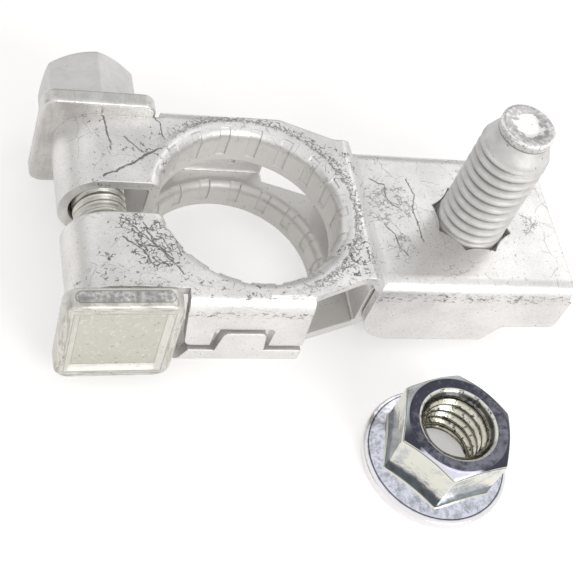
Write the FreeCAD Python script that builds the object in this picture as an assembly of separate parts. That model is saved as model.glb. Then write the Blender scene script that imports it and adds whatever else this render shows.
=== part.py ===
import FreeCAD, Part
import math
import os

Vector = FreeCAD.Vector

# Folded sheet body, lengths in millimetres and angles in degrees
sheet = 1.2
clamp_height = 13.6
body_depth = 11.2
layer_gap = 0.1

# Post hole: the upper and the lower collar are drawn down out of their sheets
upper_post_radius = 10.25
lower_post_radius = 10.5
collar_roll = 1.5
upper_collar_depth = 4.9

# Coined grooves across each collar's roll and wall
groove_count = 18
groove_phase = 18.0
groove_width = 1.2
groove_depth = 0.18
groove_reach = 0.95
groove_end_margin = 0.9

# Ears, slot and side walls: each ear folds round the bolt and ramps down to the lower sheet
bolt_x = -16.1
fold_radius = 4.75
ramp_start_x = -15.4
ramp_end_x = -12.4
ramp_radius = 0.6
ear_half_width = 11.7
slot_width = 4.1
side_half_width = 13.6
side_bend = 2.0
side_start_x = -8.7
side_start_slant = 0.9
side_end_x = 5.2
side_end_slant = 0.5
side_corner = 0.9
ear_relief = 0.8
seam_height = 2.9
seam_gap = 0.4

# The lower side walls stand a little proud of the upper ones and are bent more sharply
lower_half_width = 14.0
lower_bend = 1.4
lower_start_slant = 1.3
lower_end_x = 5.55
lower_shoulder_half_width = 11.5

# Tab on the lower wall, locked in a notch in the upper wall
notch_x = -1.6
notch_width = 6.7
notch_height = 3.3
notch_corner = 0.5
tab_top_gap = 0.35
tab_foot_gap = 0.4
tab_slant = 0.6

# Neck: both sheets taper, the upper one steps down and the lower one rises behind it
shoulder_half_width = 12.5
neck_x = 11.6
neck_half_width = 9.9
neck_blend = 2.0
step_x = 13.4
step_run = 0.6
step_drop = 1.35
step_outer_radius = 1.5
step_inner_radius = 0.5
riser_x = 13.5
riser_half_width = 8.7
riser_top_radius = 1.7
riser_foot_radius = 0.4

# Block with down-turned walls and a star hole for the stud
block_x = 13.9
block_end_x = 38.1
block_wall_overhang = 0.5
block_half_width = 10.1
block_bend = 1.8
block_deep_z = 1.85
block_shallow_z = 4.7
block_deep_end_x = 30.0
block_deep_slant = 1.8
block_front_corner = 4.2
block_corner = 0.8
block_end_relief_z = 10.2
doubler_end_x = 36.5
stud_x = 27.25
star_points = 8
star_tip_radius = 5.0
star_waist_radius = 4.28

# Terminal stud, its head trapped under the doubled sheet
stud_radius = 4.0
stud_collar_radius = 4.6
stud_fit = 0.02
stud_head_width = 12.4
stud_head_thickness = 3.2
stud_head_corner = 2.0
stud_run_out_radius = 3.7
stud_thread_height = 13.1
stud_shoulder_radius = 3.75
stud_shoulder_height = 0.8
stud_cone_radius = 3.15
stud_cone_height = 1.1
stud_neck_radius = 2.6
stud_neck_height = 0.7
stud_nose_radius = 2.9
stud_nose_height = 1.35
stud_nose_round = 0.4

# Clamp bolt along Y, with a square head and a sunk panel in its face
bolt_radius = 3.0
bolt_end_y = 22.9
bolt_end_chamfer = 0.6
bolt_seat_gap = 0.02
boss_radius = 5.0
boss_thickness = 1.1
head_width = 12.5
head_height = 13.4
head_thickness = 2.55
head_corner = 1.8
head_edge = 0.5
head_offset = 0.45
head_turned = -2.5
panel_width = 9.0
panel_height = 9.4
panel_depth = 0.6
panel_slope = 0.7

# Square washer and hexagon nut at the other ear
washer_width = 12.8
washer_height = 14.0
washer_thickness = 2.0
washer_corner = 1.5
washer_edge = 0.4
washer_clearance = 0.3
nut_across_flats = 10.0
nut_height = 8.0
nut_turned = 5.0
nut_running_fit = 0.06
nut_face_gap = 0.02
nut_chamfer_slope = 32.0
nut_crown_radius = 4.5

# Flange nut, off the stud and flat on the surface
flange_nut_x = 20.8
flange_nut_y = -25.25
flange_nut_turned = 13.3
flange_nut_across_flats = 12.1
flange_nut_height = 8.3
flange_radius = 8.6
flange_rim = 1.1
flange_edge = 0.28
flange_slope = 20.0
flange_nut_bore = 3.4
flange_nut_countersink = 4.5
flange_nut_crown_radius = 5.7
flange_nut_chamfer_slope = 30.0

# Heights that follow from the sizes above
lower_outer_z = clamp_height - body_depth
lower_inner_z = lower_outer_z + sheet
seam_z = lower_outer_z + seam_height
notch_top_z = seam_z + notch_height
ear_low_z = clamp_height - 2 * fold_radius
bolt_z = ear_low_z + sheet + bolt_seat_gap + bolt_radius
block_z = clamp_height - step_drop
doubler_z = block_z - sheet - layer_gap
stud_seat_z = doubler_z - sheet
block_wall_end_x = block_end_x + block_wall_overhang

# How far a cutting tool runs past the sheet, how near a plane an edge counts as on it,
# and the length below which an edge is left out
beyond = 5.0
close = 0.01
tiny = 1e-6
hexagon_sides = 6


def in_plan(z):
    return lambda a, b: Vector(a, b, z)


def in_side_view(y):
    return lambda a, b: Vector(a, y, b)


def in_end_view(x):
    return lambda a, b: Vector(x, a, b)


def add_line(edges, start, end):
    if (end - start).Length > tiny:
        edges.append(Part.LineSegment(start, end).toShape())


def rounded_corner(before, corner, after, radius):
    # Where the arc at a corner starts, the arc, and where it ends
    into = (corner - before).normalize()
    out = (after - corner).normalize()
    turn = into.getAngle(out)
    if radius < tiny or turn < tiny:
        return corner, None, corner
    reach = radius * math.tan(turn / 2)
    inward = (out - into).normalize()
    middle = corner + inward * (radius / math.cos(turn / 2) - radius)
    enter = corner - into * reach
    leave = corner + out * reach
    return enter, Part.Arc(enter, middle, leave).toShape(), leave


def joined(corners):
    # Straight runs from each corner's end to the next one's start, and the arcs between them
    edges = []
    for here, following in zip(corners, corners[1:]):
        add_line(edges, here[2], following[0])
        if following[1]:
            edges.append(following[1])
    return edges


def open_path(points, radii):
    inner = [rounded_corner(*spot) for spot in zip(points, points[1:], points[2:], radii[1:])]
    return joined([(points[0], None, points[0])] + inner + [(points[-1], None, points[-1])])


def outline(corners, place):
    # A closed face from corners given as (across, along, radius)
    points = [place(a, b) for a, b, radius in corners]
    count = len(points)
    loop = [rounded_corner(points[i - 1], points[i], points[(i + 1) % count], corners[i][2])
            for i in range(count)]
    return Part.Face(Part.Wire(joined([loop[-1]] + loop)))


def prism_z(corners, low, high):
    return outline(corners, in_plan(low)).extrude(Vector(0, 0, high - low))


def prism_y(corners, low, high):
    return outline(corners, in_side_view(low)).extrude(Vector(0, high - low, 0))


def box(low, high):
    return Part.makeBox(high[0] - low[0], high[1] - low[1], high[2] - low[2], Vector(*low))


def rectangle(half_a, half_b, radius, centre_a=0.0, centre_b=0.0):
    return [(centre_a + side_a * half_a, centre_b + side_b * half_b, radius)
            for side_a, side_b in ((-1, -1), (1, -1), (1, 1), (-1, 1))]


def both_sides(shape):
    return shape.fuse(shape.mirror(Vector(0, 0, 0), Vector(0, 1, 0)))


def sheet_section(path, place):
    # Section of the sheet: the path is one face and the sheet lies to its left
    count = len(path)
    ways = []
    for (a0, b0, r0), (a1, b1, r1) in zip(path, path[1:]):
        length = math.hypot(a1 - a0, b1 - b0)
        ways.append(((a1 - a0) / length, (b1 - b0) / length))
    other = []
    for i, (a, b, radius) in enumerate(path):
        u = ways[max(i - 1, 0)]
        v = ways[min(i, count - 2)]
        shrink = sheet / (1 + u[0] * v[0] + u[1] * v[1])
        turn = u[0] * v[1] - u[1] * v[0]
        inner = radius - math.copysign(sheet, turn) if radius > tiny else 0
        other.append((a - (u[1] + v[1]) * shrink, b + (u[0] + v[0]) * shrink, inner))
    other.reverse()
    near = open_path([place(a, b) for a, b, r in path], [r for a, b, r in path])
    far = open_path([place(a, b) for a, b, r in other], [r for a, b, r in other])
    edges = list(near)
    add_line(edges, place(*path[-1][:2]), place(*other[0][:2]))
    edges.extend(far)
    add_line(edges, place(*other[-1][:2]), place(*path[0][:2]))
    return Part.Face(Part.Wire(edges))


def bent_strip(path, half_width):
    # Sheet bent along a path in side view, and as wide as stated
    return sheet_section(path, in_side_view(-half_width)).extrude(Vector(0, 2 * half_width, 0))


def channel(start_x, end_x, half_width, web_z, wall_z, bend):
    # A web with a wall bent off each side, down or up to wall_z
    hand = 1 if wall_z < web_z else -1
    path = [(hand * half_width, wall_z, 0), (hand * half_width, web_z, bend),
            (-hand * half_width, web_z, bend), (-hand * half_width, wall_z, 0)]
    return sheet_section(path, in_end_view(start_x)).extrude(Vector(end_x - start_x, 0, 0))


def turned(face):
    return face.revolve(Vector(0, 0, 0), Vector(0, 0, 1), 360)


def grooves(inner_radius, top_z, bottom_z):
    # Shallow wedges that follow the roll and the wall, and stop short of the rim
    floor_radius = inner_radius + groove_depth
    roll_radius = collar_roll - groove_depth
    centre = Vector(inner_radius + collar_roll, 0, top_z - collar_roll)
    reach_x = inner_radius + groove_reach
    swing = math.acos((centre.x - reach_x) / roll_radius)
    arc_end = Vector(reach_x, 0, centre.z + roll_radius * math.sin(swing))
    arc_middle = Vector(centre.x - roll_radius * math.cos(swing / 2), 0,
                        centre.z + roll_radius * math.sin(swing / 2))
    foot_z = bottom_z + groove_end_margin
    wall_top = Vector(floor_radius, 0, centre.z)
    edges = []
    add_line(edges, Vector(0, 0, foot_z), Vector(floor_radius, 0, foot_z))
    add_line(edges, Vector(floor_radius, 0, foot_z), wall_top)
    edges.append(Part.Arc(wall_top, arc_middle, arc_end).toShape())
    add_line(edges, arc_end, Vector(reach_x, 0, top_z + beyond))
    add_line(edges, Vector(reach_x, 0, top_z + beyond), Vector(0, 0, top_z + beyond))
    add_line(edges, Vector(0, 0, top_z + beyond), Vector(0, 0, foot_z))
    span = math.degrees(groove_width / inner_radius)
    wedge = Part.Face(Part.Wire(edges)).revolve(Vector(0, 0, 0), Vector(0, 0, 1), span)
    tools = []
    for k in range(groove_count):
        tool = wedge.copy()
        tool.rotate(Vector(0, 0, 0), Vector(0, 0, 1), groove_phase - span / 2 + k * 360 / groove_count)
        tools.append(tool)
    return tools


def collar(inner_radius, top_z, bottom_z):
    # The sheet rolls over at the hole's edge and runs down as a short wall
    path = [(inner_radius + collar_roll, top_z, 0), (inner_radius, top_z, collar_roll),
            (inner_radius, bottom_z, 0)]
    ring = turned(sheet_section(path, in_side_view(0)))
    for tool in grooves(inner_radius, top_z, bottom_z):
        ring = ring.cut(tool)
    return ring


def side_profile(corners):
    # What both side walls keep, seen from the side
    reach = side_half_width + beyond
    return prism_y(corners, -reach, reach)


def tapered(edge):
    # All heights within a plan edge given for the back half, and its mirror image in front
    front = [(x, -y, radius) for x, y, radius in reversed(edge)]
    return prism_z(edge + front, -beyond, clamp_height + beyond)


def post_hole(inner_radius):
    return Part.makeCylinder(inner_radius + collar_roll, clamp_height + beyond)


def ears():
    # One U bend joins the upper and the lower sheet, and the slot parts it into two ears
    left_x = bolt_x - fold_radius
    path = [(0, clamp_height, 0), (left_x, clamp_height, fold_radius),
            (left_x, ear_low_z, fold_radius), (ramp_start_x, ear_low_z, ramp_radius),
            (ramp_end_x, lower_outer_z, ramp_radius + sheet), (0, lower_outer_z, 0)]
    return bent_strip(path, ear_half_width)


def upper_sheet():
    wall_z = seam_z + seam_gap / 2
    bend_z = clamp_height - side_bend
    foot_end_x = side_end_x + side_end_slant
    web = channel(side_start_x, foot_end_x, side_half_width, clamp_height, wall_z, side_bend)
    keep = side_profile([(side_start_x, clamp_height + beyond, 0), (side_start_x, bend_z, 0),
                         (side_start_x + side_start_slant, wall_z, side_corner),
                         (foot_end_x, wall_z, side_corner / 2), (side_end_x, bend_z, 0),
                         (side_end_x, clamp_height + beyond, 0)])
    notch = side_profile([(notch_x - notch_width / 2, notch_top_z, notch_corner),
                          (notch_x - notch_width / 2, wall_z - beyond, 0),
                          (notch_x + notch_width / 2, wall_z - beyond, 0),
                          (notch_x + notch_width / 2, notch_top_z, notch_corner)])
    walls = web.common(keep).cut(notch)
    # The neck steps down into the block, and its cut edge is flush with the block's wall there
    foot_x = step_x + step_run
    flat_end_x = block_x + block_bend
    flat_half_width = block_half_width - block_bend
    neck = bent_strip([(flat_end_x, block_z, 0), (foot_x, block_z, step_inner_radius),
                       (step_x, clamp_height, step_outer_radius), (0, clamp_height, 0)],
                      shoulder_half_width)
    plan = [(0, shoulder_half_width, 0), (side_end_x, shoulder_half_width, side_corner),
            (neck_x, neck_half_width, neck_blend), (foot_x, block_half_width, 0),
            (foot_x, flat_half_width, 0), (flat_end_x, flat_half_width, 0)]
    return walls.fuse([neck.common(tapered(plan))])


def tab():
    half_top = notch_width / 2 - tab_foot_gap - tab_slant
    half_foot = notch_width / 2 - tab_foot_gap
    foot_z = seam_z - seam_gap / 2 - sheet
    top_z = notch_top_z - tab_top_gap
    corners = [(notch_x - half_foot, foot_z, 0), (notch_x + half_foot, foot_z, 0),
               (notch_x + half_top, top_z, notch_corner), (notch_x - half_top, top_z, notch_corner)]
    return both_sides(prism_y(corners, lower_half_width - sheet, lower_half_width))


def lower_sheet():
    wall_z = seam_z - seam_gap / 2
    web = channel(side_start_x, lower_end_x, lower_half_width, lower_outer_z, wall_z, lower_bend)
    keep = side_profile([(side_start_x, lower_outer_z, 0), (lower_end_x, lower_outer_z, side_corner),
                         (lower_end_x, wall_z, 0), (side_start_x + lower_start_slant, wall_z, 0)])
    riser = bent_strip([(doubler_end_x, doubler_z, 0), (riser_x, doubler_z, riser_top_radius),
                        (riser_x, lower_inner_z, riser_foot_radius), (0, lower_inner_z, 0)],
                       lower_shoulder_half_width)
    plan = [(0, lower_shoulder_half_width, 0), (side_end_x, lower_shoulder_half_width, side_corner),
            (riser_x, riser_half_width, 0), (doubler_end_x, riser_half_width, 0)]
    return web.common(keep).fuse([tab(), riser.common(tapered(plan))])


def block():
    # Walls are deep round the stud, shallow at the far end, and rounded off at the neck
    web = channel(block_x, block_wall_end_x, block_half_width, block_z, block_deep_z, block_bend)
    return web.common(side_profile([
        (block_x, block_z + beyond, 0), (block_x, block_deep_z, block_front_corner),
        (block_deep_end_x, block_deep_z, block_corner),
        (block_deep_end_x + block_deep_slant, block_shallow_z, block_corner),
        (block_wall_end_x, block_shallow_z, block_corner),
        (block_wall_end_x, block_end_relief_z, block_corner / 2),
        (block_end_x, block_end_relief_z, 0), (block_end_x, block_z + beyond, 0)]))


def star_hole():
    # Eight pointed notches, with an arc between each two that comes close to the stud
    half_step = math.pi / star_points
    edges = []
    for k in range(star_points):
        start, waist, end = (Vector(stud_x + radius * math.cos(angle), radius * math.sin(angle), 0)
                             for radius, angle in ((star_tip_radius, (2 * k + 1) * half_step),
                                                   (star_waist_radius, (2 * k + 2) * half_step),
                                                   (star_tip_radius, (2 * k + 3) * half_step)))
        edges.append(Part.Arc(start, waist, end).toShape())
    tool = Part.Face(Part.Wire(edges)).extrude(Vector(0, 0, clamp_height))
    tool.translate(Vector(0, 0, block_z - sheet - layer_gap / 2))
    return tool


def clamp_body():
    ear_corner = [(bolt_x - 2 * fold_radius, ear_half_width, 0), (side_start_x, ear_half_width, ear_relief),
                  (side_start_x, lower_half_width + beyond, 0),
                  (bolt_x - 2 * fold_radius, lower_half_width + beyond, 0)]
    corner_cut = both_sides(prism_z(ear_corner, -beyond, clamp_height + beyond))
    upper = upper_sheet().fuse([block()]).cut(star_hole())
    lower = lower_sheet()
    stud_hole = Part.makeCylinder(stud_collar_radius + stud_fit, sheet + layer_gap,
                                  Vector(stud_x, 0, stud_seat_z - layer_gap / 2))
    lower = lower.cut(stud_hole)
    folded = ears()
    middle_z = (clamp_height + lower_outer_z) / 2
    upper_tool = post_hole(upper_post_radius)
    upper_tool.translate(Vector(0, 0, middle_z))
    lower_tool = post_hole(lower_post_radius)
    lower_tool.translate(Vector(0, 0, middle_z - clamp_height - beyond))
    plates = folded.fuse([upper, lower]).cut(upper_tool).cut(lower_tool).cut(corner_cut)
    upper_ring = collar(upper_post_radius, clamp_height, clamp_height - upper_collar_depth)
    lower_ring = collar(lower_post_radius, lower_inner_z, 0)
    slot = box((bolt_x - 2 * fold_radius, -slot_width / 2, -beyond),
               (-upper_post_radius / 2, slot_width / 2, clamp_height + beyond))
    return plates.fuse([upper_ring, lower_ring]).cut(slot).removeSplitter()


def squared_head(half_width, half_height, corner, low, high, centre_x, centre_z):
    return prism_y(rectangle(half_width, half_height, corner, centre_x, centre_z), low, high)


def edges_at(shape, axis, value):
    # Edges that lie wholly in one plane square to the axis
    picked = []
    for edge in shape.Edges:
        bounds = edge.BoundBox
        low = getattr(bounds, axis + "Min")
        high = getattr(bounds, axis + "Max")
        if abs(low - value) < close and abs(high - value) < close:
            picked.append(edge)
    return picked


def clamp_bolt():
    # A round boss behind the head bears on the ear's end and keeps the head clear of it
    back_y = -ear_half_width - boss_thickness
    face_y = back_y - head_thickness
    head_x = bolt_x + head_offset
    head = squared_head(head_width / 2, head_height / 2, head_corner, face_y, back_y, head_x, bolt_z)
    head = head.makeFillet(head_edge, edges_at(head, "Y", face_y))
    rims = []
    for depth, grow in ((0, panel_slope), (panel_depth, 0)):
        corners = rectangle(panel_width / 2 + grow, panel_height / 2 + grow, 0, head_x, bolt_z)
        rims.append(outline(corners, in_side_view(face_y + depth)).OuterWire)
    head = head.cut(Part.makeLoft(rims, True, True))
    head.rotate(Vector(head_x, 0, bolt_z), Vector(0, 1, 0), head_turned)
    shank_length = bolt_end_y - back_y
    shank = Part.makeCylinder(bolt_radius, shank_length, Vector(bolt_x, back_y, bolt_z), Vector(0, 1, 0))
    shank = shank.makeChamfer(bolt_end_chamfer, edges_at(shank, "Y", bolt_end_y))
    boss = Part.makeCylinder(boss_radius, boss_thickness, Vector(bolt_x, back_y, bolt_z), Vector(0, 1, 0))
    return head.fuse([shank, boss]).removeSplitter()


def bolt_line_hole(radius):
    length = 2 * (bolt_end_y + beyond)
    return Part.makeCylinder(radius, length, Vector(bolt_x, -length / 2, bolt_z), Vector(0, 1, 0))


def clamp_washer():
    front_y = ear_half_width
    back_y = front_y + washer_thickness
    plate = squared_head(washer_width / 2, washer_height / 2, washer_corner, front_y, back_y, bolt_x, bolt_z)
    plate = plate.makeFillet(washer_edge, edges_at(plate, "Y", front_y) + edges_at(plate, "Y", back_y))
    return plate.cut(bolt_line_hole(bolt_radius + washer_clearance))


def hexagon(across_flats, height):
    corner_radius = across_flats / 2 / math.cos(math.pi / hexagon_sides)
    turns = [2 * math.pi * k / hexagon_sides for k in range(hexagon_sides + 1)]
    points = [Vector(corner_radius * math.cos(turn), corner_radius * math.sin(turn), 0) for turn in turns]
    return Part.Face(Part.makePolygon(points)).extrude(Vector(0, 0, height))


def crown(face_radius, slope, height, low_face_radius=None):
    # A barrel that trims a hexagon's corners at its top face, and at its foot where that has a radius
    rise = math.tan(math.radians(slope))
    reach = beyond * 2
    profile = [Vector(0, 0, height), Vector(face_radius, 0, height),
               Vector(face_radius + reach, 0, height - reach * rise)]
    if low_face_radius is None:
        profile += [Vector(face_radius + reach, 0, -reach * rise), Vector(0, 0, -reach * rise)]
    else:
        meet = (height / rise + low_face_radius + face_radius) / 2
        profile[-1] = Vector(meet, 0, height - (meet - face_radius) * rise)
        profile += [Vector(low_face_radius, 0, 0), Vector(0, 0, 0)]
    return turned(Part.Face(Part.makePolygon(profile + [profile[0]])))


def clamp_nut():
    shape = hexagon(nut_across_flats, nut_height)
    shape = shape.common(crown(nut_crown_radius, nut_chamfer_slope, nut_height, nut_across_flats / 2))
    shape = shape.cut(Part.makeCylinder(bolt_radius + nut_running_fit, nut_height + 2 * beyond,
                                        Vector(0, 0, -beyond)))
    # Its axis turns from Z to Y, with one corner a little off the top
    shape.rotate(Vector(0, 0, 0), Vector(1, 0, 0), -90)
    shape.rotate(Vector(0, 0, 0), Vector(0, 1, 0), 180 / hexagon_sides - nut_turned)
    shape.translate(Vector(bolt_x, ear_half_width + washer_thickness + nut_face_gap, bolt_z))
    return shape


def terminal_stud():
    head = prism_z(rectangle(stud_head_width / 2, stud_head_width / 2, stud_head_corner),
                   stud_seat_z - stud_head_thickness, stud_seat_z)
    steps = [(stud_collar_radius, stud_seat_z - stud_head_thickness / 2),
             (stud_collar_radius, doubler_z), (stud_run_out_radius, doubler_z),
             (stud_run_out_radius, block_z), (stud_radius, block_z)]
    z = block_z + stud_thread_height
    steps.append((stud_radius, z))
    for radius, rise in ((stud_shoulder_radius, stud_shoulder_height), (stud_cone_radius, stud_cone_height),
                         (stud_neck_radius, stud_neck_height)):
        z += rise
        steps.append((radius, z))
    profile = [(0, steps[0][1], 0)] + [(radius, height, 0) for radius, height in steps]
    profile += [(stud_nose_radius, z + stud_nose_radius - stud_neck_radius, stud_nose_round),
                (stud_nose_radius, z + stud_nose_height, stud_nose_round), (0, z + stud_nose_height, 0)]
    shank = turned(outline(profile, in_side_view(0)))
    shape = head.fuse(shank)
    shape.translate(Vector(stud_x, 0, 0))
    return shape.removeSplitter()


def flange_nut():
    flank_radius = flange_nut_across_flats / 2
    slope = math.tan(math.radians(flange_slope))
    cone_z = flange_rim + (flange_radius - stud_radius) * slope
    flange = turned(outline([(0, 0, 0), (flange_radius, 0, flange_edge),
                             (flange_radius, flange_rim, flange_edge),
                             (stud_radius, cone_z, 0), (0, cone_z, 0)], in_side_view(0)))
    barrel = hexagon(2 * flank_radius, flange_nut_height)
    barrel = barrel.common(crown(flange_nut_crown_radius, flange_nut_chamfer_slope, flange_nut_height))
    shape = flange.fuse(barrel)
    sink_depth = flange_nut_countersink - flange_nut_bore
    bore = Part.makeCylinder(flange_nut_bore, flange_nut_height + 2 * beyond, Vector(0, 0, -beyond))
    sink = Part.makeCone(flange_nut_countersink, flange_nut_bore, sink_depth)
    top_sink = Part.makeCone(flange_nut_bore, flange_nut_countersink, sink_depth,
                             Vector(0, 0, flange_nut_height - sink_depth))
    shape = shape.cut([bore, sink, top_sink]).removeSplitter()
    shape.rotate(Vector(0, 0, 0), Vector(0, 0, 1), flange_nut_turned)
    shape.translate(Vector(flange_nut_x, flange_nut_y, 0))
    return shape


def main():
    os.makedirs("parts", exist_ok=True)
    makers = {"clamp_body": clamp_body, "clamp_bolt": clamp_bolt, "clamp_washer": clamp_washer,
              "clamp_nut": clamp_nut, "terminal_stud": terminal_stud, "flange_nut": flange_nut}
    for node, maker in makers.items():
        shape = maker()
        bounds = shape.BoundBox
        print(node, "valid", shape.isValid(), "solids", len(shape.Solids), "faces", len(shape.Faces),
              "volume", round(shape.Volume, 1),
              "low", [round(v, 2) for v in (bounds.XMin, bounds.YMin, bounds.ZMin)],
              "high", [round(v, 2) for v in (bounds.XMax, bounds.YMax, bounds.ZMax)])
        shape.exportStep("parts/" + node + ".step")


main()
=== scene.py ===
"""Looks of a battery terminal clamp: a folded sheet body, its bolt, washer and nut, a cable stud, and the
stud's flange nut lying beside it."""

import logging
import math
from dataclasses import dataclass
from enum import Enum

import bmesh
import bpy
import numpy as np
from mathutils import Matrix


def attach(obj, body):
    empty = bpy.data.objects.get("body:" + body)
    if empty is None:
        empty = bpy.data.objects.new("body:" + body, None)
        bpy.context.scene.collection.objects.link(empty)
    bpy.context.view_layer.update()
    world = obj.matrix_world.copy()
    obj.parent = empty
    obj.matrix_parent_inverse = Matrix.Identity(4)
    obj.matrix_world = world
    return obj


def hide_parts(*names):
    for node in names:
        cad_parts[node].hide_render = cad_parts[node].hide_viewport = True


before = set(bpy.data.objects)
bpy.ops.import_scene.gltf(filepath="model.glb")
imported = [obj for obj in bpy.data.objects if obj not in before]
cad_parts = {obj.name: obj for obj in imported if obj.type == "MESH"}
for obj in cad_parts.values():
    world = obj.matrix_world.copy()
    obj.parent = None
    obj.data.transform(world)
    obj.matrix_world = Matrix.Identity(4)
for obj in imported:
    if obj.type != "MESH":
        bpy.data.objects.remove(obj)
log = logging.getLogger("clamp")

MM = 0.001
HEXAGON = 6
WHITE = (1.0, 1.0, 1.0, 1.0)
MERGE_REACH, LEAST_EDGE = 0.0015, 0.0005
THREAD_FADE = 0.8
FLOOR_HALF, FLOOR_Z = 3.0, -0.00002

# Places and sizes in mm and degrees that pieces and finishes share.
BOLT_X, BOLT_Z = -16.1, 8.32
BOLT_HEAD_TURNED = -2.5
UPPER_Z, BLOCK_Z = 13.6, 12.25
STUD_X = 27.25
NOSE_Z, NOSE_RADIUS = 28.95, 3.15

Point = tuple[float, float, float]
Colour = tuple[float, float, float, float]


class Slot(Enum):
    """The record's material slots."""

    TIN_SHEET = "tin_sheet"
    ZINC_BOLT = "zinc_bolt"
    ZINC_PLATE = "zinc_plate"
    TIN_STUD = "tin_stud"
    BRIGHT_ZINC = "bright_zinc"


class Lay(Enum):
    """Which way a piece's own axis points in the part."""

    UPRIGHT = "upright"
    ACROSS = "across"


# ---------------------------------------------------------------- surfaces


def grid_faces(rows: int, columns: int) -> np.ndarray:
    """Quads of a grid of points stored row by row, closed round its columns.

    Args:
        rows: Number of rows of points.
        columns: Number of points in a row.

    Returns:
        One row of four point numbers for each quad.
    """
    row = np.arange(rows - 1)[:, None] * columns
    column = np.arange(columns)[None, :]
    following = (column + 1) % columns
    corners = [row + column, row + following, row + following + columns, row + column + columns]
    return np.stack(corners, axis=-1).reshape(-1, 4)


def smooth_step(low: float, high: float, value: np.ndarray) -> np.ndarray:
    """3 t^2 - 2 t^3, where t runs from 0 at low to 1 at high."""
    t = np.clip((value - low) / (high - low), 0.0, 1.0)
    return t * t * (3.0 - 2.0 * t)


def rounded_profile(corners: list[Point], step: float) -> np.ndarray:
    """A profile through corners, each cut off and bridged by the curve (1-t)^2 a + 2 t (1-t) corner + t^2 b.

    Args:
        corners: Radius, height and reach of the rounding at each corner, in mm.
        step: Longest run between two points, in mm.

    Returns:
        Radius and height of each point of the profile.
    """
    points = np.array([corner[:2] for corner in corners])
    parts = [points[:1]]
    for here, corner in enumerate(corners[1:-1], start=1):
        before, after = points[here - 1] - points[here], points[here + 1] - points[here]
        enter = points[here] + before / np.linalg.norm(before) * corner[2]
        leave = points[here] + after / np.linalg.norm(after) * corner[2]
        t = np.linspace(0.0, 1.0, 5 if corner[2] > 0.01 else 1)[:, None]
        parts.append((1 - t) ** 2 * enter + 2 * t * (1 - t) * points[here] + t ** 2 * leave)
    parts.append(points[-1:])
    line = np.concatenate(parts)
    length = np.concatenate([[0.0], np.cumsum(np.linalg.norm(np.diff(line, axis=0), axis=1))])
    extra = np.arange(0.0, length[-1], step)
    along = np.unique(np.round(np.concatenate([length, extra]), 5))
    return np.stack([np.interp(along, length, line[:, 0]), np.interp(along, length, line[:, 1])], axis=1)


def revolve(profile: np.ndarray, columns: int) -> np.ndarray:
    """The surface (r cos a, r sin a, z), where r and z follow the profile and a goes once round."""
    angle = np.linspace(0.0, 2 * math.pi, columns, endpoint=False)[None, :]
    radius, height = profile[:, :1], profile[:, 1:]
    return np.stack([radius * np.cos(angle), radius * np.sin(angle), height + 0.0 * angle], axis=-1)


def thread_relief(height: np.ndarray, angle: np.ndarray, pitch: float, ends: tuple[float, float],
                  fullness: float) -> np.ndarray:
    """|cos(pi (height / pitch - angle / 2 pi))| ^ fullness: 1 in a groove, 0 on a crest, faded at both ends."""
    wave = np.abs(np.cos(math.pi * (height / pitch - angle / (2 * math.pi)))) ** fullness
    fade_in = smooth_step(ends[0], ends[0] + THREAD_FADE * pitch, height)
    fade_out = 1.0 - smooth_step(ends[1] - THREAD_FADE * pitch, ends[1], height)
    return wave * fade_in * fade_out


def cut_thread(grid: np.ndarray, depth: float, pitch: float, ends: tuple[float, float], fullness: float,
               least: float = -math.inf, most: float = math.inf) -> np.ndarray:
    """Moves a turned surface in by depth times thread_relief, where its radius lies between least and most."""
    radius, height = np.hypot(grid[..., 0], grid[..., 1]), grid[..., 2]
    cut = depth * thread_relief(height, np.arctan2(grid[..., 1], grid[..., 0]), pitch, ends, fullness)
    scale = 1.0 - np.where((radius > least) & (radius < most), cut, 0.0) / np.maximum(radius, 0.1)
    return np.stack([grid[..., 0] * scale, grid[..., 1] * scale, height], axis=-1)


def rounded_rectangles(half_a: np.ndarray, half_b: np.ndarray, corner: np.ndarray) -> np.ndarray:
    """One rounded rectangle for each row: a quarter circle at each corner, with runs between.

    Args:
        half_a: Half width of each row.
        half_b: Half height of each row.
        corner: Corner radius of each row.

    Returns:
        The two coordinates of each point, by row and by column.
    """
    per_corner, per_side = 9, 12
    quarter = np.arange(4)[:, None]
    angle = (quarter * 0.5 * math.pi + np.linspace(0.0, 0.5 * math.pi, per_corner)[None, :])
    sign_a = np.array([1.0, -1.0, -1.0, 1.0])[:, None]
    sign_b = np.array([1.0, 1.0, -1.0, -1.0])[:, None]
    a, b, r = (values[:, None, None] for values in (half_a, half_b, corner))
    arcs = np.stack([sign_a * (a - r) + r * np.cos(angle), sign_b * (b - r) + r * np.sin(angle)], axis=-1)
    share = np.linspace(0.0, 1.0, per_side + 2)[1:-1][None, None, :, None]
    start, stop = arcs[:, :, -1:, :], np.roll(arcs[:, :, :1, :], -1, axis=1)
    sides = start * (1 - share) + stop * share
    return np.concatenate([arcs, sides], axis=2).reshape(len(half_a), -1, 2)


def lay(points: np.ndarray, way: Lay, place: Point) -> np.ndarray:
    """Turns points from a piece's own axis (z) to its way in the part, then moves them to their place."""
    if way is Lay.ACROSS:
        points = np.stack([points[..., 0], points[..., 2], -points[..., 1]], axis=-1)
    return points + np.array(place)


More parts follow.
